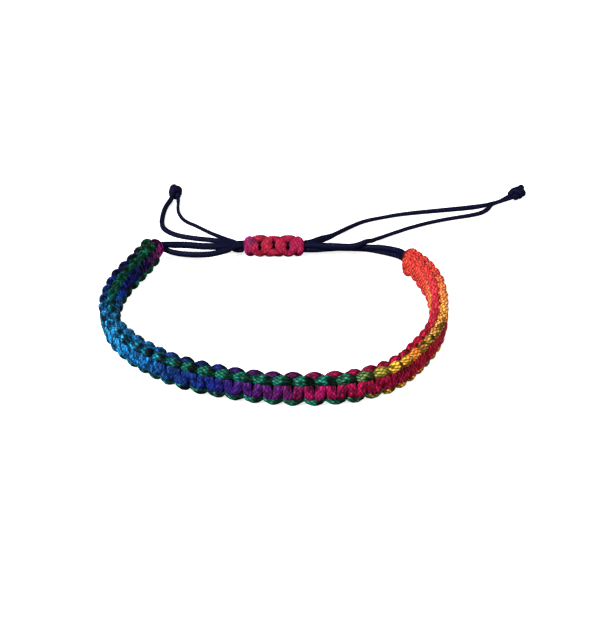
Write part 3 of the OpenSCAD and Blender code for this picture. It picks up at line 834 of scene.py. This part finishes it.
# Painted shade on loops that lie deeper in shade than the bars do: knots along, and how much
FACE_LOOP_SHADE = ((9, 12, 30, 34), (0.0, 0.22, 0.22, 0.0))
EDGE_LOOP_SHADE = even(0.0)
CLOSURE_LOOP_SHADE = even(0.0)
# Dark flecks of the band's two cords and the closure's: knots along, and how strongly they show
FACE_FLECKS = ((9, 15, 18, 34, 39), (1.4, 1.4, 1.0, 1.0, 0.5))
EDGE_FLECKS = ((9, 15, 18, 34, 39), (1.2, 1.2, 1.0, 1.0, 0.5))
CLOSURE_FLECKS = even(1.0)

RAINBOW_SHEATH = Sheath(sides=32, step=0.15, carriers=8, cell=0.95, relief=0.10)
CRIMSON_SHEATH = Sheath(sides=36, step=0.12, carriers=8, cell=0.95, relief=0.07)
NAVY_SHEATH = Sheath(sides=16, step=0.12, carriers=4, cell=0.80, relief=0.05)


def camera():
    """The scene's camera, level from side to side and tipped down by its height angle."""
    a = math.radians(CAMERA_ELEVATION)
    data = bpy.data.cameras.new("camera")
    data.sensor_width = SENSOR_MM
    data.lens = FOCAL_PX * SENSOR_MM / FRAME_H
    data.clip_start = CAMERA_NEAR
    data.clip_end = CAMERA_FAR
    cam = bpy.data.objects.new("camera", data)
    back = np.array([0, -math.cos(a), math.sin(a)])
    cam.location = Vector((LOOK_AT + CAMERA_AWAY * back) * MM)
    cam.rotation_euler = (math.radians(90 - CAMERA_ELEVATION), 0, 0)
    bpy.context.scene.collection.objects.link(cam)
    bpy.context.scene.camera = cam


def finished(piece, material, node_name):
    """Gives a piece its material, hangs it under the root body, and hides the CAD node it stands
    for.
    """
    piece.data.materials.append(material)
    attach(piece, "root")
    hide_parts(node_name)


camera()

# Free cords
navy = cord_material("navy_cord", dye_stops(NAVY_DYE, 0, 1), NAVY_TONES_AND_GLINTS, NAVY_RELIEF_LIGHTING)
tails = {}
for label, thickness, args in (
    ("left_outer", TAIL_LEFT_OUTER_THICK,
     (CLOSURE_LEFT, -1, -1, TAIL_LEFT_OUTER, STOPPER_LEFT_AT, STOPPER_LEFT_TURN, 1)),
    ("left_inner", TAIL_LEFT_INNER_THICK,
     (CLOSURE_LEFT, 1, -1, TAIL_LEFT_INNER, STOPPER_LEFT_AT, STOPPER_LEFT_TURN, -1)),
    ("right_outer", TAIL_RIGHT_OUTER_THICK,
     (CLOSURE_RIGHT, 1, 1, TAIL_RIGHT_OUTER, STOPPER_RIGHT_AT, STOPPER_RIGHT_TURN, 1)),
    ("right_inner", TAIL_RIGHT_INNER_THICK,
     (CLOSURE_RIGHT, -1, 1, TAIL_RIGHT_INNER, STOPPER_RIGHT_AT, STOPPER_RIGHT_TURN, -1)),
):
    tails[label] = plain_cord("tail_cord_" + label, tail_route(*args), NAVY_SHEATH, thickness)
    finished(tails[label][0], navy, "tail_" + label)

for hand, at, turn, end, ways in (
    ("left", STOPPER_LEFT_AT, STOPPER_LEFT_TURN, CLOSURE_LEFT, LEFT_STOPPER_WAYS),
    ("right", STOPPER_RIGHT_AT, STOPPER_RIGHT_TURN, CLOSURE_RIGHT, RIGHT_STOPPER_WAYS),
):
    knot = stopper_knot("stopper_" + hand, at, turn, end, ways)
    for piece in knot:
        finished(piece, navy, "stopper_knot_" + hand)
    for label in (hand + "_outer", hand + "_inner"):
        piece, centres, length = tails[label]

# Core cords
for name, thickness, args in (
    ("core_cord_upper", CORE_UPPER_THICK, (1, 1, -1, BRIDGE_LEFT_UPPER, BRIDGE_RIGHT_UPPER)),
    ("core_cord_lower", CORE_LOWER_THICK, (-1, -1, 1, BRIDGE_LEFT_LOWER, BRIDGE_RIGHT_LOWER)),
):
    piece = plain_cord(name + "_braided", core_route(*args), NAVY_SHEATH, thickness)[0]
    finished(piece, navy, name)

# Band
rng = np.random.default_rng(SEED)
for label, side, first, last, stops, tones, relief_lighting, loop_shade, flecks in (
    ("face_cord", 1, FACE_FIRST, FACE_LAST,
     FACE_DYE, FACE_TONES, FACE_RELIEF_LIGHTING, FACE_LOOP_SHADE, FACE_FLECKS),
    ("edge_cord", -1, EDGE_FIRST, EDGE_LAST,
     EDGE_DYE, EDGE_TONES, EDGE_RELIEF_LIGHTING, EDGE_LOOP_SHADE, EDGE_FLECKS),
):
    rows = knot_rows(first, BAND_KNOT, KNOTS, last, side, rng, JITTER)
    material = cord_material(label, dye_stops(stops), tones, relief_lighting)
    names = [label + "_left", label + "_front", label + "_right"]
    dyed = (np.arange(len(rows)) - len(first)) / len(BAND_KNOT) / KNOTS
    pieces = knotted_cord(names, rows, side, band_place, BAND_HALF, RAINBOW_SHEATH, dyed,
                          BAND_SHADING, loop_shade, flecks, BAND_CUTS)
    for piece in pieces:
        finished(piece, material, "knotted_band")

# Closure, whose cords go through one whole knot and half of the next between their two turns
crimson_stops = dye_stops(CRIMSON_DYE, CLOSURE_START, CLOSURE_START + CLOSURE_KNOTS)
crimson = cord_material("crimson_cord", crimson_stops, CRIMSON_TONES, CRIMSON_RELIEF_LIGHTING)
for label, side, table in (
    ("closure_cord_front", 1, CLOSURE_FRONT_KNOT),
    ("closure_cord_back", -1, CLOSURE_BACK_KNOT),
):
    after = moved_on(table[:HALF_KNOT_ROWS], 1) + CLOSURE_LAST
    rows = knot_rows(CLOSURE_FIRST, table, 1, after, side, rng, CLOSURE_JITTER)
    tied = (np.arange(len(rows)) - len(CLOSURE_FIRST)) / len(table)
    dyed = (tied - CLOSURE_START) / CLOSURE_KNOTS
    (piece,) = knotted_cord([label], rows, side, closure_place, CLOSURE_HALF, CRIMSON_SHEATH,
                            dyed, CLOSURE_SHADING, CLOSURE_LOOP_SHADE, CLOSURE_FLECKS)
    finished(piece, crimson, "closure_knot")

# Floor and light
bpy.ops.mesh.primitive_plane_add(size=FLOOR_SIZE, location=(0, 0, 0))
floor = bpy.context.object
floor.name = "floor"
floor.data.materials.append(floor_material())
floor.visible_diffuse = False
floor.visible_glossy = False

world = bpy.data.worlds.new("world")
world.use_nodes = True
world.node_tree.nodes["Background"].inputs["Color"].default_value = WHITE
world.node_tree.nodes["Background"].inputs["Strength"].default_value = WORLD_STRENGTH
bpy.context.scene.world = world


def area_light(name, azimuth, elevation, size, power):
    """A square soft light, azimuth counted from the camera's side towards the left."""
    a, e = math.radians(azimuth), math.radians(elevation)
    data = bpy.data.lights.new(name, "AREA")
    data.size = size
    data.energy = power
    lamp = bpy.data.objects.new(name, data)
    way = Vector((-math.sin(a) * math.cos(e), -math.cos(a) * math.cos(e), math.sin(e)))
    lamp.location = way * LIGHT_AWAY
    lamp.rotation_mode = "QUATERNION"
    lamp.rotation_quaternion = way.to_track_quat("Z", "Y")
    bpy.context.scene.collection.objects.link(lamp)


for light in LIGHTS:
    area_light(*light)

bpy.context.scene.view_settings.view_transform = "Standard"
